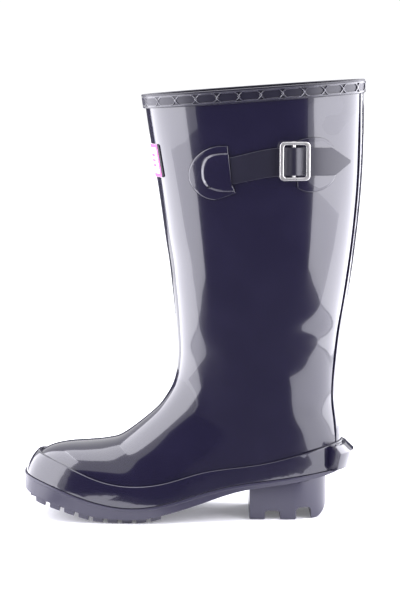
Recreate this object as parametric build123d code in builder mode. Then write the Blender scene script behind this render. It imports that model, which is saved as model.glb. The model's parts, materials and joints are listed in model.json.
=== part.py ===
from build123d import *
import os

# Rubber rain boot for the left foot, built in layers over one lasted form: lining and
# stiffeners inside, the rubber upper over them, then the foxing, patches, strap, seam
# strip, spur, sole and heel outside. The toe points along -X, the buckle is on the outer
# side (-Y), and the boot stands on the plane Z = 0. All sizes are in millimetres.

# --- Driving dimensions ---------------------------------------------------------------

bond = 0.15                 # cement gap between two layers that are stuck together
upper_wall = 2.0            # rubber of the upper
stiffener_wall = 0.85       # toe puff, heel counter and the stays
lining_wall = 1.1           # knitted sock lining
foxing_wall = 2.8           # band round the foot, above the sole
rim_point = (54.2, 388.6)   # middle of the rim, in side view
rim_slope = 0.07            # rise of the rim from front to back
rim_cap = 1.45              # rubber over the cut edge at the rim
binding_height = 12.3
binding_wall = 1.5
tape_height = 18.0          # tape inside the rim
tape_wall = 0.8
strip_wall = 1.2            # strip over the seam at the back of the leg
badge_size = (52.0, 29.3)
badge_corner = 2.0
badge_height = 323.6        # middle of the badge above the floor
badge_wall = 0.9
patch_wall = 1.2
strap_wall = 2.0
strap_rest = 0.3            # air under the strap, and between it and the rear patch
buckle_x, buckle_z = 88.0, 325.3
frame_size = (27.0, 33.7)
frame_hole = (20.0, 28.4)
frame_wall = 2.4
frame_rise = 5.0            # underside of the frame above the skin of the leg
bar_radius = 1.3
bar_rise = 2.8              # centre of the bar above the skin of the leg
keeper_wall = 1.0
keeper_width = 20.0
board_wall = 2.0            # insole board
bed_wall = 4.0              # footbed
margin_wall = 1.6           # turned-in margin of the upper, under the foot
margin_width = 5.3          # from the skin of the form, so it includes the upper
lip_height = 2.4            # moulded lip round the top of the outsole
lug_depth = 4.0
heel_front, heel_back = 51.4, 122.0
heel_half_width = 32.0
heel_wall = 8.0

# The lasted form. Each row is one section across it, given in side view: its front point
# and its back point as (x, z), its half widths on the outer and the inner side, the place
# of the widest point from the front (0) to the back (1), and how full the section is
# towards the front and towards the back (0.55 is an ellipse). The sections fan from level
# ones in the leg to steep ones in the foot, and run on below the sole line.
SECTIONS = [
    ((-53.0, 450.0), (153.2, 450.0), 57.6, 57.6, 0.50, 0.62, 0.60),
    ((-46.3, 400.0), (152.7, 400.0), 57.2, 57.2, 0.50, 0.62, 0.60),
    ((-39.2, 350.0), (152.0, 350.0), 56.5, 56.5, 0.50, 0.62, 0.60),
    ((-31.0, 300.0), (150.4, 300.0), 55.5, 55.5, 0.50, 0.62, 0.60),
    ((-24.0, 250.0), (145.8, 250.0), 53.0, 53.0, 0.50, 0.62, 0.60),
    ((-18.0, 205.0), (139.8, 205.0), 49.5, 49.5, 0.50, 0.62, 0.60),
    ((-15.0, 170.0), (134.3, 170.0), 46.0, 46.0, 0.50, 0.62, 0.60),
    ((-14.0, 145.0), (131.0, 137.0), 42.5, 42.5, 0.50, 0.62, 0.60),
    ((-17.0, 124.0), (130.3, 107.0), 39.5, 39.5, 0.48, 0.62, 0.60),
    ((-25.0, 107.5), (134.0, 80.0), 37.5, 37.5, 0.46, 0.62, 0.60),
    ((-36.0, 94.5), (134.0, 51.0), 36.5, 36.5, 0.42, 0.62, 0.62),
    ((-63.0, 73.6), (116.0, -32.0), 40.5, 39.5, 0.28, 0.62, 0.66),
    ((-78.0, 68.8), (80.0, -60.0), 44.0, 42.5, 0.33, 0.62, 0.70),
    ((-96.0, 67.0), (25.0, -63.0), 47.0, 45.5, 0.38, 0.62, 0.75),
    ((-113.0, 65.8), (-25.0, -70.0), 45.5, 46.0, 0.40, 0.64, 0.75),
    ((-128.0, 62.8), (-62.0, -80.0), 42.5, 44.0, 0.42, 0.64, 0.75),
    ((-139.0, 57.0), (-85.0, -88.0), 40.0, 41.5, 0.45, 0.64, 0.70),
    ((-146.5, 47.5), (-97.0, -94.0), 39.0, 41.0, 0.48, 0.64, 0.66),
    ((-150.2, 34.0), (-102.0, -98.0), 39.0, 41.0, 0.50, 0.64, 0.66),
    ((-151.0, 16.0), (-102.0, -101.0), 39.0, 41.0, 0.50, 0.64, 0.66),
]

# Curves in side view, as (x, z) points that a spline passes through.
SOLE_LINE = [
    (-165.0, 42.5), (-132.0, 33.5), (-88.0, 18.6), (-57.0, 13.9), (-23.0, 17.7),
    (28.0, 31.0), (78.0, 37.4), (126.0, 43.0), (165.0, 48.0),
]
FOXING_TOP = [
    (-165.0, 66.0), (-140.0, 58.5), (-116.0, 50.5), (-85.0, 38.5), (-54.0, 33.5),
    (-25.0, 36.0), (8.0, 44.8), (55.0, 50.8), (106.0, 61.7), (165.0, 75.0),
]
TREAD_LINE = [
    (-165.0, 30.0), (-137.0, 16.0), (-113.0, 8.5), (-88.0, 1.6), (-70.0, 0.0),
    (-46.0, 0.0), (-27.0, 3.5), (10.0, 14.0), (40.0, 23.0), (75.0, 28.0),
    (104.0, 31.5), (127.0, 36.0), (165.0, 44.0),
]


# --- The lasted form and the zones that cut it ----------------------------------------

def quarter(start, start_handle, end_handle, end, steps=5):
    """Points along one quarter of a section, a cubic curve without its last point."""
    points = []
    for step in range(steps):
        t = step / steps
        s = 1 - t
        weights = (s**3, 3 * s * s * t, 3 * s * t * t, t**3)
        corners = (start, start_handle, end_handle, end)
        x = sum(w * corner[0] for w, corner in zip(weights, corners))
        y = sum(w * corner[1] for w, corner in zip(weights, corners))
        points.append(Vector(x, y))
    return points


def section(row):
    """The plane of one section of the form, and the points of its outline in that plane."""
    (front_x, front_z), (back_x, back_z), outer, inner, widest, front_full, back_full = row
    front = Vector(front_x, 0, front_z)
    along = Vector(back_x, 0, back_z) - front
    length = along.length
    mid = widest * length
    ahead, behind = mid - front_full * mid, mid + back_full * (length - mid)
    points = quarter((0, 0), (0, front_full * inner), (ahead, inner), (mid, inner))
    points += quarter((mid, inner), (behind, inner), (length, back_full * inner), (length, 0))
    points += quarter((length, 0), (length, -back_full * outer), (behind, -outer), (mid, -outer))
    points += quarter((mid, -outer), (ahead, -outer), (0, -front_full * outer), (0, 0))
    return Plane(origin=front, x_dir=along, z_dir=along.cross(Vector(0, 1, 0))), points


def lofted(planes, outlines):
    """A solid lofted through closed outlines, each drawn in its own plane."""
    with BuildPart() as body:
        for plane, outline in zip(planes, outlines):
            knots = [step / len(outline) for step in range(len(outline) + 1)]
            with BuildSketch(plane):
                with BuildLine():
                    add(Edge.make_spline(outline, periodic=True, parameters=knots))
                make_face()
        loft()
    return body.part


planes, outlines = zip(*(section(row) for row in SECTIONS))
last = lofted(planes, outlines)
last_skin = last.faces().sort_by(SortBy.AREA)[-1]


def way_out(plane, point):
    """The move within a section's plane that takes the skin outwards by one millimetre."""
    normal = last_skin.normal_at(plane.from_local_coords(point))
    flat = Vector(normal.dot(plane.x_dir), normal.dot(plane.y_dir))
    return flat / flat.dot(flat)


ways_out = [[way_out(plane, point) for point in outline]
            for plane, outline in zip(planes, outlines)]


def form(grow=0.0):
    """The lasted form with its skin moved outwards by grow."""
    grown = [[point + way * grow for point, way in zip(outline, ways)]
             for outline, ways in zip(outlines, ways_out)]
    return lofted(planes, grown)


def side_zone(curve, rise=0.0, above=True):
    """Everything above (or below) a curve in side view, across the whole boot."""
    far = 480.0 if above else -130.0
    raised = [(x, z + rise) for x, z in curve]
    with BuildPart() as zone:
        with BuildSketch(Plane.XZ):
            with BuildLine():
                Spline(*raised)
                Polyline(raised[-1], (raised[-1][0], far), (raised[0][0], far), raised[0])
            make_face()
        extrude(amount=90, both=True)
    return zone.part


def under_rim(drop):
    """Everything lower than a plane that lies drop below the rim."""
    rim = Plane(origin=(rim_point[0], 0, rim_point[1]), z_dir=(-rim_slope, 0, 1))
    with BuildPart() as zone:
        with BuildSketch(rim.offset(-drop)):
            Rectangle(520, 180)
        extrude(amount=-520)
    return zone.part


def keep(solid, *zones):
    """The part of a solid that lies inside all the given zones."""
    with BuildPart() as kept:
        add(solid)
        for zone in zones:
            add(zone, mode=Mode.INTERSECT)
    return kept.part


def skin(low, high, *zones):
    """The layer between two surfaces of the form, kept inside all the given zones."""
    outer_solid, inner_solid = keep(form(high), *zones), form(low)
    with BuildPart() as layer:
        add(outer_solid)
        add(inner_solid, mode=Mode.SUBTRACT)
    return layer.part


def side_prism(outline, outer=True, inner=False):
    """A side-view outline pushed out to the outer side, the inner side, or both."""
    with BuildPart() as prism:
        if outer:
            with BuildSketch(Plane.XZ):
                add(outline)
            extrude(amount=90)
        if inner:
            with BuildSketch(Plane.XZ):
                add(outline)
            extrude(amount=-90)
    return prism.part


def finish(piece, name):
    """Label a finished piece and write its file."""
    piece.label = name
    export_step(piece, f"parts/{name}.step")


os.makedirs("parts", exist_ok=True)

upper_in = -upper_wall
stiffener_out = upper_in - bond
stiffener_in = stiffener_out - stiffener_wall
lining_out = stiffener_in - bond
lining_in = lining_out - lining_wall
tape_out = lining_in - bond
tape_in = tape_out - tape_wall
foxing_out = bond + foxing_wall
margin_top = bond + margin_wall
lining_floor = margin_top + bond
lining_top = lining_floor + lining_wall
board_floor = lining_top + bond
bed_floor = board_floor + board_wall + bond

below_rim = under_rim(0)
below_cap = under_rim(rim_cap)
below_edge = under_rim(rim_cap + bond)
below_tape = under_rim(rim_cap + bond + tape_height)
in_binding = under_rim(binding_height)
below_binding = under_rim(binding_height + bond)
over_foxing = side_zone(FOXING_TOP, bond)
under_foxing_top = side_zone(FOXING_TOP, 0, above=False)
over_sole = side_zone(SOLE_LINE, bond)
under_sole = side_zone(SOLE_LINE, 0, above=False)
over_margin = side_zone(SOLE_LINE, margin_top)
under_margin = side_zone(SOLE_LINE, margin_top, above=False)
over_lining_floor = side_zone(SOLE_LINE, lining_floor)


# --- Upper, lining and the hidden layers ----------------------------------------------

# The upper is one shell with its lower edge turned in under the foot.
upper_outside = keep(form(), over_sole, below_edge)
upper_inside = keep(form(upper_in), over_margin)
margin_hole = keep(form(-margin_width), side_zone(SOLE_LINE, margin_top + 1, above=False))
with BuildPart() as upper:
    add(upper_outside)
    add(upper_inside, mode=Mode.SUBTRACT)
    add(margin_hole, mode=Mode.SUBTRACT)
finish(upper.part, "upper")

lining_outside = keep(form(lining_out), over_lining_floor, below_edge)
foot_space = keep(form(lining_in), side_zone(SOLE_LINE, lining_top))
with BuildPart() as lining:
    add(lining_outside)
    add(foot_space, mode=Mode.SUBTRACT)
finish(lining.part, "lining")

# Stiffeners lie between the upper and the lining, each in its own area in side view.
with BuildSketch() as puff_area:
    with Locations((-135, 45)):
        Rectangle(80, 80)
with BuildSketch() as counter_area:
    with BuildLine():
        Polyline((60, 20), (160, 20), (160, 104), (112, 104))
        ThreePointArc((112, 104), (76, 84), (60, 20))
    make_face()
with BuildSketch() as instep_area:
    with BuildLine():
        Polyline((-60, 62), (-60, 172), (6, 172))
        ThreePointArc((6, 172), (4, 118), (-60, 62))
    make_face()
with BuildSketch() as ankle_area:
    with Locations((74, 138)):
        Ellipse(30, 26)

for name, area, outer, inner in (
    ("toe_puff", puff_area.sketch, True, True),
    ("heel_counter", counter_area.sketch, True, True),
    ("instep_stay", instep_area.sketch, True, True),
    ("outer_ankle_stay", ankle_area.sketch, True, False),
    ("inner_ankle_stay", ankle_area.sketch, False, True),
):
    zone = side_prism(area, outer, inner)
    finish(skin(stiffener_in, stiffener_out, zone, over_lining_floor), name)

tape_band = skin(tape_in, tape_out, below_edge)
with BuildPart() as top_tape:
    add(tape_band)
    add(below_tape, mode=Mode.SUBTRACT)
finish(top_tape.part, "top_tape")

# Under the foot: a steel shank let into the filler, the insole board, and the footbed.
shank_front, shank_back, shank_width, shank_play = -62.0, 46.0, 15.0, 0.2
shank_middle = (shank_front + shank_back) / 2
over_shank = side_zone(SOLE_LINE, 2 * bond + 1.2, above=False)
above_shank_bed = side_zone(SOLE_LINE, 2 * bond + 0.1)
with BuildPart() as shank:
    with BuildSketch(Plane.XY.offset(-10)):
        with Locations((shank_middle, 0)):
            SlotOverall(shank_back - shank_front, shank_width)
    extrude(amount=80)
    add(above_shank_bed, mode=Mode.INTERSECT)
    add(over_shank, mode=Mode.INTERSECT)
finish(shank.part, "shank")

filler_block = keep(form(-margin_width - bond), over_sole, under_margin)
with BuildPart() as filler_sole:
    add(filler_block)
    with BuildSketch(Plane.XY.offset(-10)):
        with Locations((shank_middle, 0)):
            SlotOverall(shank_back - shank_front + 2 * shank_play, shank_width + 2 * shank_play)
    extrude(amount=80, mode=Mode.SUBTRACT)
finish(filler_sole.part, "filler_sole")

for name, shrink, floor, wall in (
    ("insole_board", lining_in - bond, board_floor, board_wall),
    ("footbed", lining_in - 2 * bond, bed_floor, bed_wall),
):
    over_floor = side_zone(SOLE_LINE, floor)
    under_top = side_zone(SOLE_LINE, floor + wall, above=False)
    finish(keep(form(shrink), over_floor, under_top), name)


# --- Outer layers ---------------------------------------------------------------------

collar = keep(form(bond + binding_wall), below_rim)
leg_edge = keep(form(bond), below_cap)
mouth = form(tape_in)
with BuildPart() as top_binding:
    add(collar)
    add(in_binding, mode=Mode.SUBTRACT)
    add(leg_edge, mode=Mode.SUBTRACT)
    add(mouth, mode=Mode.SUBTRACT)
finish(top_binding.part, "top_binding")

strip_top_half_width, strip_foot_half_width = 19.0, 14.0
with BuildPart() as strip_zone:
    with BuildSketch(Plane.YZ.offset(80)):
        with BuildLine():
            Polyline((-strip_top_half_width, 400), (strip_top_half_width, 400),
                     (strip_foot_half_width, 50), (-strip_foot_half_width, 50), close=True)
        make_face()
    extrude(amount=100)
finish(skin(bond, bond + strip_wall, strip_zone.part, below_binding, over_foxing),
       "back_seam_strip")

with BuildPart() as badge_zone:
    with BuildSketch(Plane.YZ.offset(20)):
        with Locations((0, badge_height)):
            RectangleRounded(*badge_size, badge_corner)
    extrude(amount=-100)
finish(skin(bond, bond + badge_wall, badge_zone.part), "front_badge")

finish(skin(bond, foxing_out, over_sole, under_foxing_top), "foxing")

# The spur is a ridge with five flats, turned part of the way round the heel.
heel_centre = 101.0
spur_turn = 92.0            # degrees round the heel
with BuildPart() as spur_ring:
    with BuildSketch(Plane.XZ):
        with BuildLine():
            Polyline((120, 40.4), (134.3, 40.4), (143.4, 45.0), (147.6, 60.4),
                     (140.9, 66.5), (120, 66.5), close=True)
        make_face()
    revolve(axis=Axis((heel_centre, 0, 0), (0, 0, 1)), revolution_arc=spur_turn)
heel_axis = Axis((heel_centre, 0, 0), (0, 0, 1))
spur_ridge = spur_ring.part.rotate(heel_axis, -spur_turn / 2)
foxing_face = form(foxing_out + bond)
with BuildPart() as heel_spur:
    add(spur_ridge)
    add(foxing_face, mode=Mode.SUBTRACT)
    add(over_sole, mode=Mode.INTERSECT)
finish(heel_spur.part, "heel_spur")

# The outsole follows the sole line on top; the lip stands a little proud of its wall,
# and the lugs of the tread reach the ground under the ball of the foot.
outsole_out = foxing_out + 0.4
lip_out = foxing_out + 1.0
lug_pitch, lug_length, lug_width = 13.0, 9.0, 18.0
lug_first, lug_count = -140.0, 9
lug_lanes = (-36, -12, 12, 36)
tread_base = side_zone(TREAD_LINE, lug_depth)
wall_block = keep(form(outsole_out), under_sole, tread_base)
lip_band = keep(form(lip_out), under_sole, side_zone(SOLE_LINE, -lip_height))
with BuildPart() as lug_grid:
    with BuildSketch(Plane.XY.offset(-20)):
        for row in range(lug_count):
            for lane in lug_lanes:
                stagger = 3 if abs(lane) > lug_width else -3
                with Locations((lug_first + row * lug_pitch + stagger, lane)):
                    Rectangle(lug_length, lug_width)
    extrude(amount=80)
lugs = keep(form(outsole_out - 0.6), side_zone(TREAD_LINE),
            side_zone(TREAD_LINE, lug_depth + 1, above=False), lug_grid.part)
with BuildPart() as outsole:
    add(wall_block)
    add(lip_band)
    add(lugs)
finish(outsole.part, "outsole")

# The heel block stands under the heel seat and has two notches across its tread.
heel_arc = heel_back - heel_half_width
core_floor, core_height, core_length = 14.0, 9.0, 40.0
core_middle = (heel_front + heel_arc) / 2 + 6
mid_notch_x, rear_notch_x, notch_width = 72.2, 100.2, 13.6
mid_notch_height, rear_notch_height = 7.8, 10.6
core_width = 2 * (heel_half_width - heel_wall)
heel_seat = side_zone(TREAD_LINE, lug_depth - bond, above=False)
with BuildPart() as heel_block:
    with BuildSketch(Plane.XY):
        with BuildLine():
            Polyline((heel_arc, -heel_half_width), (heel_front, 1 - heel_half_width),
                     (heel_front, heel_half_width - 1), (heel_arc, heel_half_width))
            ThreePointArc((heel_arc, heel_half_width), (heel_back, 0),
                          (heel_arc, -heel_half_width))
        make_face()
    extrude(amount=60)
    add(heel_seat, mode=Mode.INTERSECT)
    with BuildSketch(Plane.XZ):
        with Locations((mid_notch_x, 0)):
            RectangleRounded(notch_width, 2 * mid_notch_height, 3.0)
        with Locations((rear_notch_x, 0)):
            RectangleRounded(notch_width, 2 * rear_notch_height, 4.0)
    extrude(amount=60, both=True, mode=Mode.SUBTRACT)
    with BuildSketch(Plane.XZ):
        with BuildLine():
            Polyline((108, -1), (140, -1), (140, 12), (heel_back, 12))
            ThreePointArc((heel_back, 12), (118.2, 3.4), (108, -1))
        make_face()
    extrude(amount=60, both=True, mode=Mode.SUBTRACT)
    with BuildSketch(Plane.XY.offset(core_floor)):
        with Locations((core_middle, 0)):
            RectangleRounded(core_length, core_width, 6)
    extrude(amount=core_height, mode=Mode.SUBTRACT)
finish(heel_block.part, "heel_block")

with BuildPart() as heel_core:
    with BuildSketch(Plane.XY.offset(core_floor + bond)):
        with Locations((core_middle, 0)):
            RectangleRounded(core_length - 2 * bond, core_width - 2 * bond, 6)
    extrude(amount=core_height - 2 * bond)
finish(heel_core.part, "heel_core")


# --- Strap, patches and buckle --------------------------------------------------------

leg = form()


def leg_point(x, z):
    """The point of the leg's outer side at a place in side view, and the way out of it."""
    hits = leg.find_intersection_points(Axis((x, 0, z), (0, -1, 0)))
    point, normal = min(hits, key=lambda hit: hit[0].Y)
    return point, normal if normal.Y < 0 else -normal


def ribbon(stations, low, high, z, half_height):
    """A band standing on the leg, between two heights above it at each station in x."""
    inner, outer = [], []
    for x, base in stations:
        point, normal = leg_point(x, z)
        out = Vector(normal.X, normal.Y, 0).normalized()
        inner.append(Vector(point.X, point.Y, 0) + out * (base + low))
        outer.append(Vector(point.X, point.Y, 0) + out * (base + high))
    with BuildPart() as band:
        with BuildSketch(Plane.XY.offset(z)):
            with BuildLine():
                Spline(*inner)
                Line(inner[-1], outer[-1])
                Spline(*outer[::-1])
                Line(outer[0], inner[0])
            make_face()
        extrude(amount=half_height, both=True)
    return band.part


# Side-view outlines. The strap climbs from the front patch to the buckle, runs level
# through it, and ends in a blunt point.
strap_upper_edge = [
    (14, 325.6), (36, 329.0), (59, 334.4), (76, 336.8), (90, 337.1), (123, 336.2),
]
strap_lower_edge = [
    (125.5, 312.2), (102, 312.4), (76, 312.2), (59, 309.9), (36, 305.2), (14, 302.2),
]
with BuildSketch() as strap_shape:
    with BuildLine():
        Spline(*strap_upper_edge)
        Polyline((123, 336.2), (139.5, 325.0), (139.5, 322.5), (125.5, 312.2))
        Spline(*strap_lower_edge)
        Line((14, 302.2), (14, 325.6))
    make_face()
with BuildSketch() as front_shape:
    with BuildLine():
        Line((30.6, 338.6), (26.6, 338.4))
        Spline((26.6, 338.4), (14.5, 336.3), (3.6, 329.3), (-3.4, 316.2), (-2.4, 306.0),
               (2.2, 298.7), (11.0, 292.6), (20.6, 290.8))
        Polyline((20.6, 290.8), (38.1, 297.1), (34.6, 304.0), (30.6, 338.6))
    make_face()
with BuildSketch() as step_shape:
    with BuildLine():
        Spline((44.0, 331.0), (24.0, 331.2), (12.0, 326.6), (8.8, 316.0), (12.0, 304.4),
               (22.0, 299.6), (44.0, 301.0))
        Line((44.0, 301.0), (44.0, 331.0))
    make_face()
with BuildSketch() as rear_shape:
    with BuildLine():
        Spline((91.6, 343.0), (104.8, 345.7), (116.0, 344.0), (124.4, 335.0),
               (126.4, 323.0), (125.6, 310.8), (117.0, 301.2), (104.0, 297.8),
               (91.6, 301.6))
        Line((91.6, 301.6), (91.6, 343.0))
    make_face()

strap_level = 324.4
strap_top = strap_rest + strap_wall
keeper_in = bar_radius + strap_rest
keeper_out = keeper_in + keeper_wall
keeper_low = bar_rise - keeper_out
hump = bar_rise + keeper_out + strap_rest
over_patch = bond + patch_wall + strap_rest
strap_stations = [
    (10, strap_rest), (30, strap_rest), (50, strap_rest), (66, strap_rest),
    (74.6, 0.45), (78.1, 1.2), (83, 3.7), (buckle_x, hump), (93, 4.0), (97.9, 1.9),
    (102, over_patch), (114, over_patch), (126, over_patch), (134, over_patch),
    (143, over_patch),
]
strap_ribbon = ribbon(strap_stations, 0, strap_wall, strap_level, 30)
finish(keep(strap_ribbon, side_prism(strap_shape.sketch)), "strap")

patch_block = keep(form(bond + patch_wall), side_prism(front_shape.sketch))
step_block = keep(form(strap_top + bond + patch_wall), side_prism(step_shape.sketch),
                  side_prism(front_shape.sketch))
leg_skin = form(bond)
pocket_room = 0.3
pocket_upper_edge = [(x - pocket_room, z + pocket_room) for x, z in strap_upper_edge]
pocket_lower_edge = [(x - pocket_room, z - pocket_room) for x, z in strap_lower_edge]
with BuildSketch() as pocket_shape:
    with BuildLine():
        Spline(*pocket_upper_edge)
        Line(pocket_upper_edge[-1], pocket_lower_edge[0])
        Spline(*pocket_lower_edge)
        Line(pocket_lower_edge[-1], pocket_upper_edge[0])
    make_face()
pocket_ribbon = ribbon([(8, 0), (30, 0), (50, 0)], -1.0, strap_top + bond, strap_level, 30)
pocket = keep(pocket_ribbon, side_prism(pocket_shape.sketch))
with BuildPart() as front_patch:
    add(patch_block)
    add(step_block)
    add(leg_skin, mode=Mode.SUBTRACT)
    add(pocket, mode=Mode.SUBTRACT)
finish(front_patch.part, "front_anchor_patch")

# The buckle stands on its own plane: u runs back along the leg, v up it, w out of it.
buckle_point, buckle_out = leg_point(buckle_x, buckle_z)
buckle_along = buckle_out.cross(Vector(0, 0, 1)).normalized()
buckle_along = buckle_along if buckle_along.X > 0 else -buckle_along
buckle_plane = Plane(origin=buckle_point, x_dir=buckle_along, z_dir=buckle_out)
bar_plane = Plane(
    origin=buckle_point + buckle_out * bar_rise,
    x_dir=buckle_along,
    z_dir=buckle_plane.y_dir,
)

boss_width = 4.2
boss_drop = frame_rise + 0.4 - bar_rise + bar_radius + 0.4
boss_wall = (frame_size[1] - frame_hole[1]) / 2
boss_middle = (frame_size[1] + frame_hole[1]) / 4
bar_length = frame_size[1] - 0.6
with BuildPart() as buckle_frame:
    with BuildSketch(buckle_plane.offset(frame_rise)):
        RectangleRounded(*frame_size, 4.0)
        RectangleRounded(*frame_hole, 2.5, mode=Mode.SUBTRACT)
    extrude(amount=frame_wall)
    with BuildSketch(buckle_plane.offset(frame_rise + 0.4)):
        with Locations((0, boss_middle), (0, -boss_middle)):
            Rectangle(boss_width, boss_wall)
    extrude(amount=-boss_drop)
    with BuildSketch(bar_plane.offset(-30)):
        Circle(bar_radius + 0.05)
    extrude(amount=60, mode=Mode.SUBTRACT)
finish(buckle_frame.part, "buckle_frame")

with BuildPart() as buckle_bar:
    with BuildSketch(bar_plane.offset(-bar_length / 2)):
        Circle(bar_radius)
    extrude(amount=bar_length)
finish(buckle_bar.part, "buckle_bar")

# The keeper is a tab of rubber folded round the bar, with its tail under the strap.
keeper_tail = ribbon([(buckle_x, 0), (95, 0), (102, 0), (110, 0)],
                     keeper_low, keeper_low + keeper_wall, buckle_z, keeper_width / 2)
with BuildPart() as keeper_loop:
    with BuildSketch(bar_plane.offset(-keeper_width / 2)):
        Circle(keeper_out)
    extrude(amount=keeper_width)
    add(keeper_tail)
    with BuildSketch(bar_plane.offset(-30)):
        Circle(keeper_in)
    extrude(amount=60, mode=Mode.SUBTRACT)
finish(keeper_loop.part, "keeper_loop")

patch_blank = skin(bond, bond + patch_wall, side_prism(rear_shape.sketch))
with BuildPart() as rear_patch:
    add(patch_blank)
    with BuildSketch(Plane.XZ):
        with Locations((100, buckle_z)):
            Rectangle(23, keeper_width + 4 * bond)
    extrude(amount=90, mode=Mode.SUBTRACT)
finish(rear_patch.part, "rear_anchor_patch")

print("bar axis through", bar_plane.origin, "along", bar_plane.z_dir)
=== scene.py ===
"""Looks of a rubber rain boot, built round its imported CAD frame.

The boot stands on a pale floor with its toe to the left. Everything is in metres, in the
frame of the CAD: -X is the toe, -Y the outer side with the buckle, +Z up the leg.
"""

import json
import logging
import math
from dataclasses import dataclass, field
from enum import Enum
from typing import Any, Iterable, Sequence

import bmesh
import bpy
from mathutils import Matrix, Vector


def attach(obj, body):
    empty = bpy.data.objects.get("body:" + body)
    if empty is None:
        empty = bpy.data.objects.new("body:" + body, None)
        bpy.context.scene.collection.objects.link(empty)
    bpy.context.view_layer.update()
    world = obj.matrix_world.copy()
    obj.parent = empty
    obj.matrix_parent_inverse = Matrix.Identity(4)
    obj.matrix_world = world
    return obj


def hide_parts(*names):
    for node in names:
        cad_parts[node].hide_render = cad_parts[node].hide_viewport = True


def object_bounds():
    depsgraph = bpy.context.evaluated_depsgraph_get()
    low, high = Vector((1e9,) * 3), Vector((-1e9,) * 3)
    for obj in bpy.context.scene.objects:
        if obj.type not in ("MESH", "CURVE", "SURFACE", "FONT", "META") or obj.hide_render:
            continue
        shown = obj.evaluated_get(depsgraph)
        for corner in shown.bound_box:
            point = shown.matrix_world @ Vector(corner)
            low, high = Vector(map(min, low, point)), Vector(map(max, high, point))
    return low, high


log = logging.getLogger("boot")
MM = 0.001
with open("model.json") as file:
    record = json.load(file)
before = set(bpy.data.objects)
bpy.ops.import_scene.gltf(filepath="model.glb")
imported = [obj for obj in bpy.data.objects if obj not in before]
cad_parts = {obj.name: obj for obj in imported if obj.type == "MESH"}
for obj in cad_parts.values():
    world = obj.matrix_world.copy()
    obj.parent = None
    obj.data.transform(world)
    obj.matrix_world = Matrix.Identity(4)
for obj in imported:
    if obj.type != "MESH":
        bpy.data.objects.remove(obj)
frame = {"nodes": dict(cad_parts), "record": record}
CAD_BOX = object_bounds()

CREASE_DEGREES = 30.0                # edges sharper than this get a rounding
SAME_PLACE = 0.001 * MM              # points nearer than this are joined
WAVE_BAND = 0.314                    # a wave texture's band at scale 1: 2 pi / 20
RIM_POINT = Vector((54.2 * MM, 0.0, 388.6 * MM))    # middle of the sloping top edge
RIM_SLOPE = 0.07                     # its rise towards the heel, per unit of x


def linear(code: str) -> tuple[float, float, float, float]:
    """Turns an sRGB hex colour into the linear values that shaders take.

    Args:
        code: Six hex digits, with or without a leading #.

    Returns:
        Red, green, blue and an alpha of one.
    """
    digits = code.lstrip("#")
    parts = (int(digits[i:i + 2], 16) / 255 for i in (0, 2, 4))
    red, green, blue = (
        part / 12.92 if part <= 0.04045 else ((part + 0.055) / 1.055) ** 2.4 for part in parts)
    return red, green, blue, 1.0


def add_node(tree: bpy.types.NodeTree, kind: str, settings: dict[str, Any] | None = None,
             inputs: dict[Any, Any] | None = None) -> bpy.types.Node:
    """Adds a shader node with its settings, its values and its links.

    Args:
        tree: The node tree that gets the node.
        kind: The node's type name, such as "ShaderNodeBump".
        settings: Attributes to set on the node.
        inputs: Socket name or number to a plain value, or to an output socket to link.

    Returns:
        The new node.
    """
    node = tree.nodes.new(kind)
    for key, value in (settings or {}).items():
        setattr(node, key, value)
    for key, value in (inputs or {}).items():
        if isinstance(value, bpy.types.NodeSocket):
            tree.links.new(value, node.inputs[key])
        else:
            node.inputs[key].default_value = value
    return node


class Weave(Enum):
    """Surface patterns of the cloth-like finishes."""

    KNIT = "knit"
    PLAIN = "plain"


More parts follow.
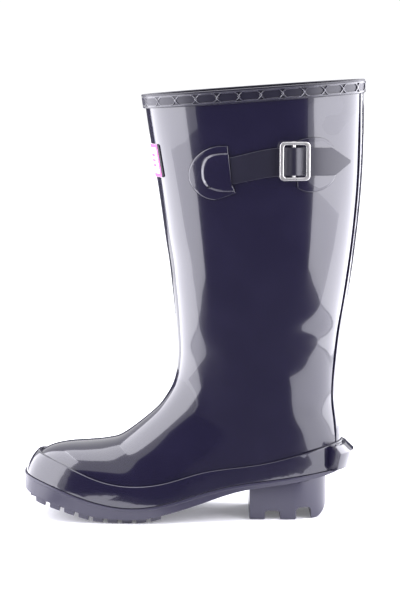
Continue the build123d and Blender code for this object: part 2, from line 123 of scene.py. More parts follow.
@dataclass(frozen=True)
class Rubber:
    """Vulcanised natural rubber, lacquered or bare.

    Lacquer gives a mirror-like coat that follows the slow waves of hand-laid rubber; bare
    rubber scatters more and shows a fine grain. Bloom is the pale haze that rubber sweats.
    """

    name: str
    colour: str
    roughness: float
    coat: float = 0.0
    coat_roughness: float = 0.03
    wave_mm: float = 22.0
    wave_depth_mm: float = 0.06
    grain_mm: float = 1.2
    grain_depth_mm: float = 0.01
    bloom: str = "#34314b"
    bloom_mm: float = 34.0
    bloom_most: float = 0.07

    def material(self) -> bpy.types.Material:
        """Builds the material: waves and grain as bump, and faint bloom in the colour.

        Returns:
            The material.
        """
        mat = bpy.data.materials.new(self.name)
        mat.use_nodes = True
        tree = mat.node_tree
        shader = tree.nodes["Principled BSDF"]
        place = add_node(tree, "ShaderNodeTexCoord").outputs["Object"]
        clouds = add_node(tree, "ShaderNodeTexNoise", inputs={
            "Vector": place, "Scale": 1 / (self.bloom_mm * MM), "Detail": 4.0,
            "Roughness": 0.55})
        tint = add_node(tree, "ShaderNodeMapRange", inputs={
            "Value": clouds.outputs["Fac"], "From Min": 0.45, "From Max": 0.8,
            "To Min": 0.0, "To Max": self.bloom_most})
        colour = add_node(tree, "ShaderNodeMix", {"data_type": "RGBA"}, {
            "Factor": tint.outputs[0], "A": linear(self.colour), "B": linear(self.bloom)})
        tree.links.new(colour.outputs["Result"], shader.inputs["Base Color"])
        waves = add_node(tree, "ShaderNodeTexNoise", inputs={
            "Vector": place, "Scale": 1 / (self.wave_mm * MM), "Detail": 1.0})
        grain = add_node(tree, "ShaderNodeTexNoise", inputs={
            "Vector": place, "Scale": 1 / (self.grain_mm * MM), "Detail": 2.0})
        slow = add_node(tree, "ShaderNodeBump", inputs={
            "Height": waves.outputs["Fac"], "Distance": self.wave_depth_mm * MM, "Strength": 1.0})
        fine = add_node(tree, "ShaderNodeBump", inputs={
            "Height": grain.outputs["Fac"], "Distance": self.grain_depth_mm * MM,
            "Strength": 1.0, "Normal": slow.outputs["Normal"]})
        tree.links.new(fine.outputs["Normal"], shader.inputs["Normal"])
        tree.links.new(slow.outputs["Normal"], shader.inputs["Coat Normal"])
        shader.inputs["Roughness"].default_value = self.roughness
        shader.inputs["IOR"].default_value = 1.52
        shader.inputs["Coat Weight"].default_value = self.coat
        shader.inputs["Coat Roughness"].default_value = self.coat_roughness
        return mat


@dataclass(frozen=True)
class Cloth:
    """Knitted or woven textile: threads as bump, and a soft sheen."""

    name: str
    colour: str
    thread_mm: float
    weave: Weave = Weave.KNIT
    depth_mm: float = 0.15
    roughness: float = 0.9
    crown_highlight_gain: float = 1.9

    def material(self) -> bpy.types.Material:
        """Builds the material: two crossed sets of threads, with a painted highlight on their
        crowns.

        Returns:
            The material.
        """
        mat = bpy.data.materials.new(self.name)
        mat.use_nodes = True
        tree = mat.node_tree
        shader = tree.nodes["Principled BSDF"]
        place = add_node(tree, "ShaderNodeTexCoord").outputs["Object"]
        scale = WAVE_BAND / (self.thread_mm * MM)
        profile = "SIN" if self.weave is Weave.KNIT else "TRI"
        along = add_node(tree, "ShaderNodeTexWave",
                         {"wave_profile": profile, "bands_direction": "DIAGONAL"},
                         {"Vector": place, "Scale": scale, "Distortion": 0.6})
        across = add_node(tree, "ShaderNodeTexWave",
                          {"wave_profile": profile, "bands_direction": "Z"},
                          {"Vector": place, "Scale": scale, "Distortion": 0.4})
        height = add_node(tree, "ShaderNodeMath", {"operation": "MULTIPLY"}, {
            0: along.outputs["Fac"], 1: across.outputs["Fac"]})
        base = linear(self.colour)
        # Painted highlight: a lighter copy of the colour is mixed in by thread height, so the
        # crowns look lit and the dips between threads look shaded.
        painted_crown_highlight = tuple(min(1.0, part * self.crown_highlight_gain) for part in base[:3]) + (1.0,)
        colour = add_node(tree, "ShaderNodeMix", {"data_type": "RGBA"}, {
            "Factor": height.outputs[0], "A": base, "B": painted_crown_highlight})
        bump = add_node(tree, "ShaderNodeBump", inputs={
            "Height": height.outputs[0], "Distance": self.depth_mm * MM, "Strength": 0.8})
        tree.links.new(colour.outputs["Result"], shader.inputs["Base Color"])
        tree.links.new(bump.outputs["Normal"], shader.inputs["Normal"])
        shader.inputs["Roughness"].default_value = self.roughness
        shader.inputs["Sheen Weight"].default_value = 0.25
        return mat


@dataclass(frozen=True)
class Metal:
    """Die-cast or rolled metal, plated or brushed, with fine scratches in its roughness."""

    name: str
    colour: str
    roughness: float
    scratch_mm: float = 0.6
    depth_mm: float = 0.006

    def material(self) -> bpy.types.Material:
        """Builds the material: uneven polish and very fine scratches.

        Returns:
            The material.
        """
        mat = bpy.data.materials.new(self.name)
        mat.use_nodes = True
        tree = mat.node_tree
        shader = tree.nodes["Principled BSDF"]
        place = add_node(tree, "ShaderNodeTexCoord").outputs["Object"]
        stretch = add_node(tree, "ShaderNodeMapping", inputs={
            "Vector": place, "Scale": (1.0, 1.0, 0.15)})
        fine = add_node(tree, "ShaderNodeTexNoise", inputs={
            "Vector": stretch.outputs[0], "Scale": 1 / (self.scratch_mm * MM), "Detail": 3.0})
        polish = add_node(tree, "ShaderNodeMapRange", inputs={
            "Value": fine.outputs["Fac"], "To Min": self.roughness * 0.75,
            "To Max": self.roughness * 1.3})
        bump = add_node(tree, "ShaderNodeBump", inputs={
            "Height": fine.outputs["Fac"], "Distance": self.depth_mm * MM, "Strength": 0.6})
        tree.links.new(polish.outputs[0], shader.inputs["Roughness"])
        tree.links.new(bump.outputs["Normal"], shader.inputs["Normal"])
        shader.inputs["Base Color"].default_value = linear(self.colour)
        shader.inputs["Metallic"].default_value = 1.0
        return mat


@dataclass(frozen=True)
class Board:
    """Pressed fibre, cork or foam: a speckled matt solid."""

    name: str
    colour: str
    fleck: str
    grain_mm: float
    depth_mm: float = 0.1

    def material(self) -> bpy.types.Material:
        """Builds the material: flecks of a second colour that also stand out a little.

        Returns:
            The material.
        """
        mat = bpy.data.materials.new(self.name)
        mat.use_nodes = True
        tree = mat.node_tree
        shader = tree.nodes["Principled BSDF"]
        place = add_node(tree, "ShaderNodeTexCoord").outputs["Object"]
        cells = add_node(tree, "ShaderNodeTexVoronoi", inputs={
            "Vector": place, "Scale": 1 / (self.grain_mm * MM)})
        amount = add_node(tree, "ShaderNodeMapRange", inputs={
            "Value": cells.outputs["Distance"], "From Min": 0.2, "From Max": 0.7})
        colour = add_node(tree, "ShaderNodeMix", {"data_type": "RGBA"}, {
            "Factor": amount.outputs[0], "A": linear(self.colour), "B": linear(self.fleck)})
        bump = add_node(tree, "ShaderNodeBump", inputs={
            "Height": cells.outputs["Distance"], "Distance": self.depth_mm * MM, "Strength": 0.5})
        tree.links.new(colour.outputs["Result"], shader.inputs["Base Color"])
        tree.links.new(bump.outputs["Normal"], shader.inputs["Normal"])
        shader.inputs["Roughness"].default_value = 0.85
        return mat


@dataclass(frozen=True)
class PrintedBadge:
    """Screen-printed rubber label: pale, with rose border lines and a few plain blocks.

    Its sizes are in metres. Every band is given by half of its breadth, because the print is
    the same on both sides of the label's middle.
    """

    name: str
    ground: str
    ink: str
    edge: str
    middle_z: float
    width: float
    height: float
    inset: float = 1.7 * MM
    line: float = 1.5 * MM
    upright_inset: float = 3.7 * MM
    edge_band: float = 2.6 * MM
    block_rise: float = 4.6 * MM
    block_out: float = 11 * MM
    block_half: tuple[float, float] = (6 * MM, 1.3 * MM)
    bar_half: tuple[float, float] = (17 * MM, 1.0 * MM)
    ink_depth: float = 0.08 * MM

    def material(self) -> bpy.types.Material:
        """Builds the material: border lines, two blocks and a bar, placed from the sizes.

        Returns:
            The material.
        """
        mat = bpy.data.materials.new(self.name)
        mat.use_nodes = True
        tree = mat.node_tree
        shader = tree.nodes["Principled BSDF"]
        place = add_node(tree, "ShaderNodeTexCoord").outputs["Object"]
        axes = add_node(tree, "ShaderNodeSeparateXYZ", inputs={0: place})
        middle = add_node(tree, "ShaderNodeMath", {"operation": "SUBTRACT"}, {
            0: axes.outputs["Z"], 1: self.middle_z}).outputs[0]
        out, rise = (add_node(tree, "ShaderNodeMath", {"operation": "ABSOLUTE"}, {
            0: value}).outputs[0] for value in (axes.outputs["Y"], middle))

        def band(value: bpy.types.NodeSocket, centre: float, half: float) -> bpy.types.NodeSocket:
            """One where value is within half of centre."""
            return add_node(tree, "ShaderNodeMath", {"operation": "COMPARE"}, {
                0: value, 1: centre, 2: half}).outputs[0]

        def joined(operation: str, first: bpy.types.NodeSocket,
                   second: bpy.types.NodeSocket) -> bpy.types.NodeSocket:
            """Two masks joined by a math operation: MULTIPLY for both, MAXIMUM for either."""
            return add_node(tree, "ShaderNodeMath", {"operation": operation}, {
                0: first, 1: second}).outputs[0]

        levels = joined("MULTIPLY", band(rise, self.height / 2 - self.inset, self.line),
                        band(out, 0.0, self.width / 2 - self.inset))
        uprights = joined("MULTIPLY", band(out, self.width / 2 - self.upright_inset, self.line),
                          band(rise, 0.0, self.height / 2 - self.inset))
        blocks = joined("MULTIPLY", band(rise, self.block_rise, self.block_half[1]),
                        band(out, self.block_out, self.block_half[0]))
        bar = joined("MULTIPLY", band(rise, 0.0, self.bar_half[1]),
                     band(out, 0.0, self.bar_half[0]))
        print_mask = joined("MAXIMUM", joined("MAXIMUM", levels, uprights),
                            joined("MAXIMUM", blocks, bar))
        printed = add_node(tree, "ShaderNodeMix", {"data_type": "RGBA"}, {
            "Factor": print_mask, "A": linear(self.ground), "B": linear(self.ink)})
        framed = add_node(tree, "ShaderNodeMix", {"data_type": "RGBA"}, {
            "Factor": band(out, self.width / 2, self.edge_band),
            "A": printed.outputs["Result"], "B": linear(self.edge)})
        bump = add_node(tree, "ShaderNodeBump", inputs={
            "Height": print_mask, "Distance": self.ink_depth, "Strength": 0.6})
        tree.links.new(framed.outputs["Result"], shader.inputs["Base Color"])
        tree.links.new(bump.outputs["Normal"], shader.inputs["Normal"])
        shader.inputs["Roughness"].default_value = 0.5
        shader.inputs["Specular IOR Level"].default_value = 0.3
        return mat


NAVY = "#120f24"
FINISHES: dict[str, Any] = {
    "gloss_rubber": Rubber("lacquered natural rubber", NAVY, 0.16, coat=1.0),
    "satin_rubber": Rubber("calendered rubber, satin", "#131122", 0.37, coat=0.15,
                           coat_roughness=0.35, wave_depth_mm=0.04, grain_depth_mm=0.03),
    "sole_rubber": Rubber("moulded sole rubber", "#211e34", 0.33, coat=0.35,
                          coat_roughness=0.2, wave_depth_mm=0.05, grain_depth_mm=0.02),
    "core_rubber": Rubber("sponge rubber core", "#17171a", 0.8),
    "knit_lining": Cloth("cotton knit lining", "#2c2c3d", 1.3),
    "webbing_tape": Cloth("woven cotton tape", "#191924", 0.9, Weave.PLAIN),
    "stiffener_canvas": Cloth("rubberised canvas", "#bdb099", 1.0, Weave.PLAIN),
    "foam_footbed": Cloth("jersey over foam", "#2b2b36", 1.1),
    "spring_steel": Metal("rolled spring steel", "#9a9a9c", 0.35),
    "nickel_buckle": Metal("nickel plated zinc", "#e9e7e5", 0.3, depth_mm=0.003),
    "cork_filler": Board("cork composition", "#a27a50", "#6f4d2f", 2.2),
    "fibre_board": Board("pressed fibre board", "#8f8268", "#a89c82", 1.1),
    "printed_badge": PrintedBadge("printed rubber badge", "#e6e3e8", "#c9559f", "#15121c",
                                  middle_z=323.6 * MM, width=52 * MM, height=29.3 * MM),
}


class Palette:
    """Makes each finish's material once and hands it out by the record's slot name."""

    def __init__(self) -> None:
        """Starts with no materials made."""
        self.made: dict[str, bpy.types.Material] = {}

    def get(self, slot: str) -> bpy.types.Material:
        """Finds the material of a slot, and makes it on first use.

        Args:
            slot: The record's material slot.

        Returns:
            The slot's material.
        """
        if slot not in self.made:
            self.made[slot] = FINISHES[slot].material()
        return self.made[slot]


PALETTE = Palette()


def put(mesh: bmesh.types.BMesh, name: str) -> bpy.types.Object:
    """Writes a bmesh into a new object at the origin.

    Args:
        mesh: The bmesh; it is freed.
        name: The new object's name.

    Returns:
        The object, linked into the scene and shaded smooth.
    """
    data = bpy.data.meshes.new(name)
    for face in mesh.faces:
        face.smooth = True
    mesh.to_mesh(data)
    mesh.free()
    piece = bpy.data.objects.new(name, data)
    bpy.context.scene.collection.objects.link(piece)
    return piece


def mount(piece: bpy.types.Object, slot: str, body: str = "body",
          nodes: Iterable[str] = ()) -> None:
    """Dresses a piece and ties it to the frame.

    Args:
        piece: The finished piece.
        slot: The record's material slot.
        body: The CAD body that it rides on.
        nodes: The CAD nodes that it stands for.
    """
    piece.data.materials.clear()
    piece.data.materials.append(PALETTE.get(slot))
    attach(piece, body)
    if nodes:
        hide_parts(*nodes)
    log.info("made %s with %d faces", piece.name, len(piece.data.polygons))


def dress(node: str) -> None:
    """Gives a CAD node that stays in view the material of its own slot.

    Args:
        node: The CAD node.
    """
    slots = {part["node"]: part["material_slot"] for part in frame["record"]["subparts"]}
    data = frame["nodes"][node].data
    data.materials.clear()
    data.materials.append(PALETTE.get(slots[node]))


def eased_copy(node: str, name: str, edge: float, segments: int = 2) -> bpy.types.Object:
    """Copies a CAD node, joins its triangles and rounds its sharp edges.

    Args:
        node: The CAD node.
        name: The new piece's name.
        edge: Width of the rounding, in metres.
        segments: Faces across the rounding.

    Returns:
        The new piece, with weighted normals.
    """
    mesh = bmesh.new()
    mesh.from_mesh(frame["nodes"][node].data)
    bmesh.ops.remove_doubles(mesh, verts=mesh.verts, dist=SAME_PLACE)
    bmesh.ops.dissolve_degenerate(mesh, edges=mesh.edges, dist=SAME_PLACE)
    sharp = [e for e in mesh.edges
             if len(e.link_faces) == 2 and e.calc_face_angle(0.0) > math.radians(CREASE_DEGREES)]
    bmesh.ops.bevel(mesh, geom=sharp, offset=edge, segments=segments, profile=0.5,
                    affect="EDGES", material=-1, clamp_overlap=False)
    piece = put(mesh, name)
    normals = piece.modifiers.new("flats first", "WEIGHTED_NORMAL")
    normals.keep_sharp = True
    return piece


@dataclass(frozen=True)
class Cover:
    """A piece made from one CAD node by rounding its edges; edge is in metres."""

    node: str
    name: str
    slot: str
    edge: float
    body: str = "body"
    segments: int = 2

    def build(self) -> None:
        """Makes the piece and dresses it."""
        mount(eased_copy(self.node, self.name, self.edge, self.segments), self.slot, self.body,
              [self.node])


@dataclass
class Dent:
    """A soft hollow pressed into the leg, or a swell where depth is negative."""

    centre: tuple[float, float, float]
    radii: tuple[float, float, float]
    depth: float

    def at(self, point: Vector) -> float:
        """How far the skin is pressed in at a point.

        Args:
            point: The point, in metres.

        Returns:
            The depth there, in metres.
        """
        total = sum(((p - c) / r) ** 2 for p, c, r in zip(point, self.centre, self.radii))
        return self.depth * math.exp(-total)


@dataclass
class Last:
    """The shape that the boot was built over, as sections from above the rim to the toe.

    Each row is front (x, z), back (x, z), outer and inner half width, place of the widest
    point, and fullness to the front and to the back, in millimetres.
    """

    rows: list[tuple] = field(default_factory=lambda: [
        (-53.0, 450.0, 153.2, 450.0, 57.6, 57.6, 0.50, 0.62, 0.60),
        (-46.3, 400.0, 152.7, 400.0, 57.2, 57.2, 0.50, 0.62, 0.60),
        (-39.2, 350.0, 152.0, 350.0, 56.5, 56.5, 0.50, 0.62, 0.60),
        (-31.0, 300.0, 150.4, 300.0, 55.5, 55.5, 0.50, 0.62, 0.60),
        (-24.0, 250.0, 145.8, 250.0, 53.0, 53.0, 0.50, 0.62, 0.60),
        (-18.0, 205.0, 139.8, 205.0, 49.5, 49.5, 0.50, 0.62, 0.60),
        (-15.0, 170.0, 134.3, 170.0, 46.0, 46.0, 0.50, 0.62, 0.60),
        (-14.0, 145.0, 131.0, 137.0, 42.5, 42.5, 0.50, 0.62, 0.60),
        (-17.0, 124.0, 130.3, 107.0, 39.5, 39.5, 0.48, 0.62, 0.60),
        (-25.0, 107.5, 134.0, 80.0, 37.5, 37.5, 0.46, 0.62, 0.60),
        (-36.0, 94.5, 134.0, 51.0, 36.5, 36.5, 0.42, 0.62, 0.62),
        (-63.0, 73.6, 116.0, -32.0, 40.5, 39.5, 0.28, 0.62, 0.66),
        (-78.0, 68.8, 80.0, -60.0, 44.0, 42.5, 0.33, 0.62, 0.70),
        (-96.0, 67.0, 25.0, -63.0, 47.0, 45.5, 0.38, 0.62, 0.75),
        (-113.0, 65.8, -25.0, -70.0, 45.5, 46.0, 0.40, 0.64, 0.75),
        (-128.0, 62.8, -62.0, -80.0, 42.5, 44.0, 0.42, 0.64, 0.75),
        (-139.0, 57.0, -85.0, -88.0, 40.0, 41.5, 0.45, 0.64, 0.70),
        (-146.5, 47.5, -97.0, -94.0, 39.0, 41.0, 0.48, 0.64, 0.66),
        (-150.2, 34.0, -102.0, -98.0, 39.0, 41.0, 0.50, 0.64, 0.66),
        (-151.0, 16.0, -102.0, -101.0, 39.0, 41.0, 0.50, 0.64, 0.66),
    ])
    last_level_row: float = 6.0
    halvings: int = 40

    def section(self, place: float) -> tuple[float, ...]:
        """The row at a place between the listed ones, on a smooth curve through them.

        Args:
            place: Which section, counted in rows from the top.

        Returns:
            The row's values there, in millimetres.
        """
        last = len(self.rows) - 1
        place = min(max(place, 0.0), float(last))
        first = min(int(place), last - 1)
        t = place - first
        before, start, end, after = (
            self.rows[min(max(first + k, 0), last)] for k in (-1, 0, 1, 2))
        return tuple(0.5 * (2 * b + (c - a) * t + (2 * a - 5 * b + 4 * c - d) * t * t
                            + (3 * b - a - 3 * c + d) * t ** 3)
                     for a, b, c, d in zip(before, start, end, after))

    def skin(self, place: float, turn: float) -> Vector:
        """A point of the skin.

        Args:
            place: Which section, counted in rows from the top.
            turn: How far round it, 0 to 1: front, inner side, back, outer side.

        Returns:
            The point, in metres.
        """
        fx, fz, bx, bz, outer, inner, widest, front_full, back_full = self.section(place)
        front, along = Vector((fx, 0, fz)), Vector((bx - fx, 0, bz - fz))
        length = along.length
        mid = widest * length
        ahead, behind = mid - front_full * mid, mid + back_full * (length - mid)
        quarter = min(int(turn * 4), 3)
        t = turn * 4 - quarter
        u, v = (
            ((0, 0, ahead, mid), (0, front_full * inner, inner, inner)),
            ((mid, behind, length, length), (inner, inner, back_full * inner, 0)),
            ((length, length, behind, mid), (0, -back_full * outer, -outer, -outer)),
            ((mid, ahead, 0, 0), (-outer, -outer, -front_full * outer, 0)),
        )[quarter]
        weights = ((1 - t) ** 3, 3 * t * (1 - t) ** 2, 3 * t * t * (1 - t), t ** 3)
        a = sum(w * p for w, p in zip(weights, u))
        b = sum(w * p for w, p in zip(weights, v))
        return (front + along.normalized() * a + Vector((0, b, 0))) * MM

    def normal(self, place: float, turn: float) -> Vector:
        """The way out of the skin at a point of it.

        Args:
            place: Which section, counted in rows from the top.
            turn: How far round it, 0 to 1.

        Returns:
            A vector of length one.
        """
        step = 1e-3
        across = self.skin(place, (turn + step) % 1.0) - self.skin(place, (turn - step) % 1.0)
        down = self.skin(place + step, turn) - self.skin(place - step, turn)
        way = across.cross(down).normalized()
        middle = (self.skin(place, 0.0) + self.skin(place, 0.5)) / 2
        return way if way.dot(self.skin(place, turn) - middle) > 0 else -way

    def leg_place(self, height: float) -> float:
        """The place of the level section at a height of the upper leg.

        Args:
            height: The height, in metres.

        Returns:
            Which section, counted in rows from the top.
        """
        low, high = 0.0, self.last_level_row
        for _ in range(self.halvings):
            mid = (low + high) / 2
            if self.skin(mid, 0.0).z > height:
                low = mid
            else:
                high = mid
        return (low + high) / 2


LAST = Last()
# Where the upper meets the sole in side view, as (x, z) in millimetres from toe to heel.
SOLE_LINE = [(-165.0, 42.5), (-132.0, 33.5), (-88.0, 18.6), (-57.0, 13.9), (-23.0, 17.7),
             (28.0, 31.0), (78.0, 37.4), (126.0, 43.0), (165.0, 48.0)]


def sole_height(x: float) -> float:
    """Height of the sole line.

    Args:
        x: Place along the boot, in metres.

    Returns:
        The height, in metres.
    """
    points = [(a * MM, b * MM) for a, b in SOLE_LINE]
    for (x0, z0), (x1, z1) in zip(points, points[1:]):
        if x <= x1:
            return z0 + (z1 - z0) * (x - x0) / (x1 - x0)
    return points[-1][1]


@dataclass
class Leg:
    """The rubber upper with its lining, tape, seam strip and badge."""

    wall: float = 1.9 * MM
    around: int = 96
    steps_per_row: int = 4
    rim_cap: float = 1.6 * MM
    sole_overlap: float = 4 * MM
    dents: list[Dent] = field(default_factory=lambda: [
        Dent((-24 * MM, -20 * MM, 232 * MM), (18 * MM, 30 * MM, 9 * MM), 0.9 * MM),
        Dent((104 * MM, -38 * MM, 170 * MM), (22 * MM, 24 * MM, 9 * MM), 1.1 * MM),
        Dent((82 * MM, -38 * MM, 152 * MM), (18 * MM, 24 * MM, 8 * MM), 0.7 * MM),
        Dent((122 * MM, -42 * MM, 367 * MM), (10 * MM, 16 * MM, 7 * MM), 0.7 * MM),
        Dent((-10 * MM, 0.0, 118 * MM), (14 * MM, 26 * MM, 8 * MM), 0.5 * MM),
    ])
    covers: tuple[Cover, ...] = (
        Cover("back_seam_strip", "seam_strip", "gloss_rubber", 0.35 * MM),
        Cover("front_badge", "badge", "printed_badge", 0.3 * MM),
    )
    inside: tuple[str, ...] = ("lining", "toe_puff", "heel_counter", "instep_stay",
                               "outer_ankle_stay", "inner_ankle_stay", "top_tape")

    def shell(self) -> bpy.types.Object:
        """Builds the upper as rings bridged from the rim to the toe.

        Returns:
            The shell, open at the rim and along the sole, with its wall on a modifier.
        """
        mesh = bmesh.new()
        rings = []
        count = (len(LAST.rows) - 1) * self.steps_per_row
        for index in range(count + 1):
            place = index / self.steps_per_row
            made = bmesh.ops.create_circle(mesh, segments=self.around, radius=1.0)["verts"]
            for number, vert in enumerate(made):
                vert.co = LAST.skin(place, number / self.around)
            rings.append(list({e for v in made for e in v.link_edges}))
        for upper, lower in zip(rings, rings[1:]):
            bmesh.ops.bridge_loops(mesh, edges=upper + lower)
        way = Vector((-RIM_SLOPE, 0, 1)).normalized()
        bmesh.ops.bisect_plane(mesh, geom=mesh.verts[:] + mesh.edges[:] + mesh.faces[:],
                               plane_co=RIM_POINT - way * self.rim_cap, plane_no=way,
                               clear_outer=True)
        middles = {face: face.calc_center_median() for face in mesh.faces}
        low = [face for face, middle in middles.items()
               if middle.z < sole_height(middle.x) + self.sole_overlap]
        bmesh.ops.delete(mesh, geom=low, context="FACES")
        bmesh.ops.recalc_face_normals(mesh, faces=mesh.faces)
        mesh.normal_update()
        for vert in mesh.verts:
            vert.co -= vert.normal * sum(dent.at(vert.co) for dent in self.dents)
        piece = put(mesh, "upper_shell")
        rounding = piece.modifiers.new("round", "SUBSURF")
        rounding.levels = rounding.render_levels = 1
        wall = piece.modifiers.new("wall", "SOLIDIFY")
        wall.thickness, wall.offset = self.wall, -1.0
        return piece

    def build(self) -> None:
        """Builds and dresses the leg's pieces."""
        mount(self.shell(), "gloss_rubber", nodes=["upper"])
        for cover in self.covers:
            cover.build()
        for node in self.inside:
            dress(node)


@dataclass
class Rim:
    """The rubber binding round the top, with its embossed chain of long hexagons."""

    height: float = 12.3 * MM
    stand: float = 1.65 * MM
    rim_drop: float = 6.4 * MM
    measured_at: float = 385.0 * MM
    count: int = 27
    hexagon_height: float = 6.4 * MM
    slant: float = 3.3 * MM
    line: float = 0.9 * MM
    relief: float = 0.8 * MM
    sunk: float = 0.1 * MM
    border_inset: float = 1.7 * MM
    border_cuts: int = 150
    side_cuts: int = 5
    samples: int = 360
    binding: Cover = Cover("top_binding", "rim_binding", "satin_rubber", 0.6 * MM, segments=3)

    def spine(self) -> tuple[list[Vector], list[Vector]]:
        """The middle line of the binding's outside, once round the leg.

        Returns:
            Its points, and the ways out of it.
        """
        points, ways = [], []
        level = LAST.leg_place(self.measured_at)
        for index in range(self.samples):
            turn = index / self.samples
            rise = RIM_SLOPE * (LAST.skin(level, turn).x - RIM_POINT.x)
            place = LAST.leg_place(RIM_POINT.z + rise - self.rim_drop)
            way = LAST.normal(place, turn)
            points.append(LAST.skin(place, turn) + way * self.stand)
            ways.append(way)
        return points, ways

    def chain(self) -> bpy.types.Object:
        """Builds the raised chain and its two borders flat, then wraps them round the binding.

        Returns:
            The chain.
        """
        points, ways = self.spine()
        lengths = [0.0]
        for first, second in zip(points, points[1:] + points[:1]):
            lengths.append(lengths[-1] + (second - first).length)
        total = lengths[-1]
        pitch = total / self.count
        mesh = bmesh.new()
        for index in range(self.count):
            made = bmesh.ops.create_circle(mesh, cap_ends=True, segments=6, radius=1.0)["verts"]
            for vert in made:
                # The circle's first point lies on Y, so its long way is turned onto X.
                tip, side = vert.co.y, vert.co.x
                if abs(side) < 0.1:
                    vert.co = Vector((math.copysign(pitch / 2, tip), 0, 0))
                else:
                    vert.co = Vector((math.copysign(pitch / 2 - self.slant, tip),
                                      math.copysign(self.hexagon_height / 2, side), 0))
                vert.co.x += (index + 0.5) * pitch
            face = made[0].link_faces[0]
            ring = bmesh.ops.inset_region(mesh, faces=[face], thickness=self.line,
                                          use_boundary=True, use_even_offset=True)["faces"]
            bmesh.ops.delete(mesh, geom=[face], context="FACES")
            raised = bmesh.ops.extrude_face_region(mesh, geom=ring)["geom"]
            bmesh.ops.translate(mesh, vec=(0, 0, self.relief),
                                verts=[g for g in raised if isinstance(g, bmesh.types.BMVert)])
        for level in (-1, 1):
            made = bmesh.ops.create_cube(mesh, size=1.0)["verts"]
            middle = level * (self.height / 2 - self.border_inset)
            bmesh.ops.scale(mesh, vec=(total, self.line, self.relief), verts=made)
            bmesh.ops.translate(mesh, vec=(total / 2, middle, self.relief / 2), verts=made)
        lines = [(e, e.calc_length()) for e in mesh.edges]
        borders = [e for e, length in lines if length > total / 2]
        sides = [e for e, length in lines if pitch / 3 < length <= total / 2]
        bmesh.ops.subdivide_edges(mesh, edges=borders, cuts=self.border_cuts, use_grid_fill=True)
        bmesh.ops.subdivide_edges(mesh, edges=sides, cuts=self.side_cuts, use_grid_fill=True)
        for vert in mesh.verts:
            self.wrap(vert, points, ways, lengths, total)
        bmesh.ops.recalc_face_normals(mesh, faces=mesh.faces)
        return put(mesh, "rim_pattern")

    def wrap(self, vert: bmesh.types.BMVert, points: Sequence[Vector], ways: Sequence[Vector],
             lengths: Sequence[float], total: float) -> None:
        """Moves a vertex of the flat chain onto the binding.

        Args:
            vert: The vertex; x runs along the band, y up it and z out of it.
            points: The band's middle line.
            ways: The ways out of it.
            lengths: Distance along the line at each point.
            total: The line's full length.
        """
        along = vert.co.x % total
        low, high = 0, len(lengths) - 1
        while high - low > 1:
            mid = (low + high) // 2
            if lengths[mid] <= along:
                low = mid
            else:
                high = mid
        part = (along - lengths[low]) / (lengths[high] - lengths[low])
        follow = high % len(points)
        point = points[low].lerp(points[follow], part)
        way = ways[low].lerp(ways[follow], part).normalized()
        run = (points[follow] - points[low]).normalized()
        up = run.cross(way).normalized()
        up = up if up.z > 0 else -up
        vert.co = point + up * vert.co.y + way * (vert.co.z - self.sunk)

    def build(self) -> None:
        """Builds and dresses the binding and its pattern."""
        self.binding.build()
        mount(self.chain(), "gloss_rubber")


@dataclass
class SideStrap:
    """The strap, its two bonded patches, the keeper tab and the buckle."""

    covers: tuple[Cover, ...] = (
        Cover("strap", "side_strap", "satin_rubber", 0.6 * MM, segments=3),
        Cover("front_anchor_patch", "front_patch", "gloss_rubber", 1.0 * MM, segments=3),
        Cover("rear_anchor_patch", "rear_patch", "gloss_rubber", 0.9 * MM, segments=3),
        Cover("keeper_loop", "keeper_tab", "satin_rubber", 0.3 * MM, segments=3),
        Cover("buckle_frame", "frame_of_buckle", "nickel_buckle", 0.6 * MM, "buckle", 3),
    )
    round_bar: str = "buckle_bar"

    def build(self) -> None:
        """Builds and dresses the pieces; the frame turns with the buckle."""
        for cover in self.covers:
            cover.build()
        dress(self.round_bar)


@dataclass
class Foot:
    """Foxing, outsole, heel and spur, and what lies under the foot."""

    covers: tuple[Cover, ...] = (
        Cover("foxing", "foxing_band", "gloss_rubber", 0.7 * MM),
        Cover("heel_spur", "spur", "gloss_rubber", 0.3 * MM),
        Cover("outsole", "tread_sole", "sole_rubber", 0.35 * MM),
        Cover("heel_block", "heel", "sole_rubber", 0.7 * MM),
    )
    inside: tuple[str, ...] = ("shank", "filler_sole", "insole_board", "footbed", "heel_core")

    def build(self) -> None:
        """Builds and dresses the pieces."""
        for cover in self.covers:
            cover.build()
        for node in self.inside:
            dress(node)


@dataclass(frozen=True)
class ReflectionFlag:
    """A dark, faintly glowing sheet that only shows in gloss: a painted reflection, unseen by the
    camera and casting no shadow.

    It has a middle, half of its width and of its depth or height, and the degrees that it is
    turned up about X from lying flat.
    """

    name: str
    middle: tuple[float, float, float]
    half: tuple[float, float]
    turn: float


@dataclass(frozen=True)
class Panel:
    """A soft light: where it stands, the point it faces, its width and height, and watts."""

    name: str
    place: tuple[float, float, float]
    aim: tuple[float, float, float]
    size: tuple[float, float]
    power: float


FLAT_FLAG_HEIGHT = CAD_BOX[0].z + 1 * MM        # clears the floor that it lies over


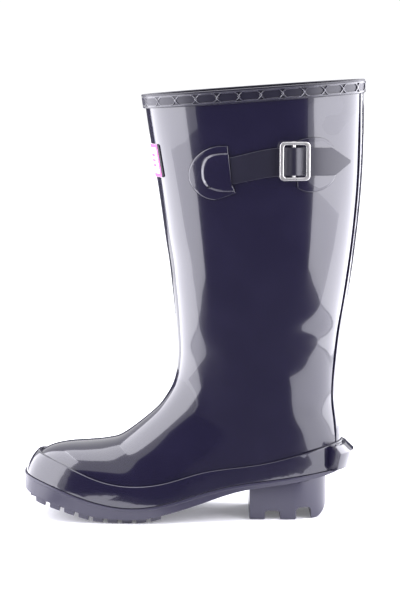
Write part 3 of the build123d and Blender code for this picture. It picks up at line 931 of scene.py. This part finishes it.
@dataclass
class Studio:
    """Pale floor, two tall side panels, an overhead panel, dark flags seen only as painted
    reflections, and the camera.
    """

    camera_place: tuple[float, float, float] = (0.0066, -1.7, 0.420)
    aim: tuple[float, float, float] = (0.0066, 0.0, 0.196)
    lens: float = 113.3
    sensor_width: float = 36.0
    floor_half: float = 8.0
    glow_reach: tuple[float, float] = (0.12, 0.75)
    glow: tuple[float, float] = (0.14, 0.62)
    sky_strength: float = 1.08
    flag_glow: float = 0.25
    flags: tuple[ReflectionFlag, ...] = (
        ReflectionFlag("near flag", (0.0, -1.31, FLAT_FLAG_HEIGHT), (1.6, 1.0), 0.0),
        ReflectionFlag("ankle flag", (0.06, -0.235, FLAT_FLAG_HEIGHT), (0.16, 0.085), 0.0),
        ReflectionFlag("tall flag", (0.0, -2.3, 1.0), (1.6, 1.0), 90.0),
        ReflectionFlag("far flag", (0.0, 1.1, 0.17), (1.6, 0.17), 90.0),
    )
    panels: tuple[Panel, ...] = (
        Panel("left panel", (-0.52, -0.07, 0.6), (0.0, -0.07, 0.6), (0.94, 1.19), 14.0),
        Panel("right panel", (0.62, -0.03, 0.6), (0.0, -0.03, 0.6), (1.3, 1.19), 21.0),
        Panel("overhead", (-0.1, 0.1, 1.6), (-0.1, 0.1, 0.0), (1.2, 1.2), 14.0),
    )

    def floor(self) -> None:
        """Lays a paper floor that glows a little more towards its far edges."""
        mesh = bmesh.new()
        bmesh.ops.create_grid(mesh, x_segments=1, y_segments=1, size=self.floor_half)
        bmesh.ops.translate(mesh, vec=(0, 0, CAD_BOX[0].z - 0.1 * MM), verts=mesh.verts)
        floor = put(mesh, "floor")
        mat = bpy.data.materials.new("glowing white paper")
        mat.use_nodes = True
        tree = mat.node_tree
        shader = tree.nodes["Principled BSDF"]
        place = add_node(tree, "ShaderNodeTexCoord").outputs["Object"]
        reach = add_node(tree, "ShaderNodeVectorMath", {"operation": "LENGTH"}, {0: place})
        far = add_node(tree, "ShaderNodeMapRange", {"interpolation_type": "SMOOTHSTEP"}, {
            "Value": reach.outputs["Value"],
            "From Min": self.glow_reach[0], "From Max": self.glow_reach[1],
            "To Min": self.glow[0], "To Max": self.glow[1]})
        # Painted light: the floor glows, least round the boot and most towards its far edges, so
        # the boot's gloss reflects a bright floor.
        tree.links.new(far.outputs[0], shader.inputs["Emission Strength"])
        shader.inputs["Base Color"].default_value = linear("#f2f2f5")
        shader.inputs["Emission Color"].default_value = linear("#fafaff")
        shader.inputs["Roughness"].default_value = 0.9
        shader.inputs["Specular IOR Level"].default_value = 0.1
        floor.data.materials.append(mat)

    def hang_panels(self) -> None:
        """Adds the soft panels."""
        for panel in self.panels:
            data = bpy.data.lights.new(panel.name, "AREA")
            data.shape, data.energy = "RECTANGLE", panel.power
            data.color = linear("#f8f7ff")[:3]
            data.size, data.size_y = panel.size
            lamp = bpy.data.objects.new(panel.name, data)
            bpy.context.scene.collection.objects.link(lamp)
            lamp.location = panel.place
            lamp.visible_camera = False
            way = Vector(panel.aim) - Vector(panel.place)
            lamp.rotation_euler = way.to_track_quat("-Z", "Y").to_euler()

    def hang_flags(self) -> None:
        """Adds the dark flags: painted reflections that share one faintly glowing material."""
        mat = bpy.data.materials.new("painted reflection flag")
        mat.use_nodes = True
        shader = mat.node_tree.nodes["Principled BSDF"]
        shader.inputs["Base Color"].default_value = linear("#202024")
        shader.inputs["Roughness"].default_value = 1.0
        shader.inputs["Emission Color"].default_value = linear("#7a7a86")
        shader.inputs["Emission Strength"].default_value = self.flag_glow
        for flag in self.flags:
            mesh = bmesh.new()
            bmesh.ops.create_grid(mesh, x_segments=1, y_segments=1, size=1.0)
            bmesh.ops.scale(mesh, vec=(*flag.half, 1.0), verts=mesh.verts)
            bmesh.ops.rotate(mesh, matrix=Matrix.Rotation(math.radians(flag.turn), 3, "X"),
                             verts=mesh.verts)
            bmesh.ops.translate(mesh, vec=flag.middle, verts=mesh.verts)
            cloth = put(mesh, flag.name)
            # Painted reflection: the flags show only in gloss, never to the camera, in diffuse
            # light or in shadows.
            cloth.visible_camera = cloth.visible_diffuse = cloth.visible_shadow = False
            cloth.data.materials.append(mat)

    def sky(self) -> None:
        """Makes the surroundings an even, very pale grey."""
        world = bpy.data.worlds.new("studio")
        bpy.context.scene.world = world
        world.use_nodes = True
        back = world.node_tree.nodes["Background"]
        back.inputs["Color"].default_value = linear("#fcfcff")
        back.inputs["Strength"].default_value = self.sky_strength

    def camera(self) -> None:
        """Places the camera and sets it as the scene's."""
        data = bpy.data.cameras.new("camera")
        data.lens, data.sensor_width = self.lens, self.sensor_width
        camera = bpy.data.objects.new("camera", data)
        scene = bpy.context.scene
        scene.collection.objects.link(camera)
        camera.location = self.camera_place
        way = Vector(self.aim) - Vector(self.camera_place)
        camera.rotation_euler = way.to_track_quat("-Z", "Y").to_euler()
        scene.camera = camera
        scene.view_settings.view_transform = "Standard"

    def build(self) -> None:
        """Builds the floor, the surroundings, the flags, the lights and the camera."""
        self.floor()
        self.sky()
        self.hang_flags()
        self.hang_panels()
        self.camera()


def main() -> None:
    """Builds the studio and the boot, piece by piece."""
    logging.basicConfig(level=logging.INFO, format="%(name)s: %(message)s")
    for part in (Studio(), Leg(), Rim(), SideStrap(), Foot()):
        part.build()
        log.info("%s done", type(part).__name__)


if __name__ == "__main__":
    main()
